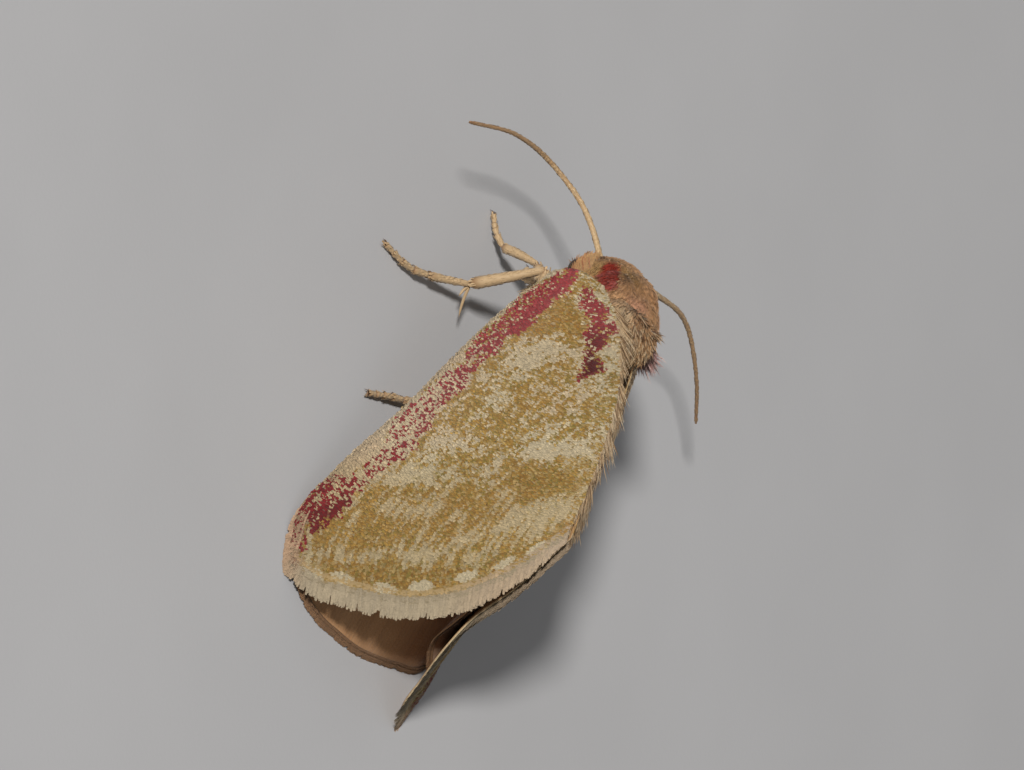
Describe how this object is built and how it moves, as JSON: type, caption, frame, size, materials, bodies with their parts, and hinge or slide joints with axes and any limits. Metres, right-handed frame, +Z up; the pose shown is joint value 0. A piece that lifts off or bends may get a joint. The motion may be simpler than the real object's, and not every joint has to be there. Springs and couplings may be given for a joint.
{
  "type": "resting moth model",
  "caption": "Life-size still model of a resting owlet moth, wings folded roof-like over its back, antennae held forward and legs on the floor.",
  "frame": {"origin": "on the floor, under the middle of the whole moth's box", "axes": "-Y where the head points, +X the moth's left, +Z up from the floor"},
  "size_m": [0.0132, 0.0132, 0.0054],
  "materials": {
    "body_fur": "matt hair scales",
    "abdomen_fur": "matt hair scales",
    "eye": "glossy",
    "antenna": "satin",
    "forewing_scales": "matt scales",
    "hindwing_scales": "matt scales",
    "leg": "matt"
  },
  "bodies": {
    "root": {"abdomen": "abdomen_fur", "antenna_left": "antenna", "antenna_right": "antenna", "eye_left": "eye", "eye_right": "eye", "fore_leg_left": "leg", "fore_leg_right": "leg", "forewing_left": "forewing_scales", "forewing_right": "forewing_scales", "head": "body_fur", "hind_leg_left": "leg", "hind_leg_right": "leg", "hindwing_left": "hindwing_scales", "hindwing_right": "hindwing_scales", "mid_leg_left": "leg", "mid_leg_right": "leg", "thorax": "body_fur"}
  },
  "joints": []
}
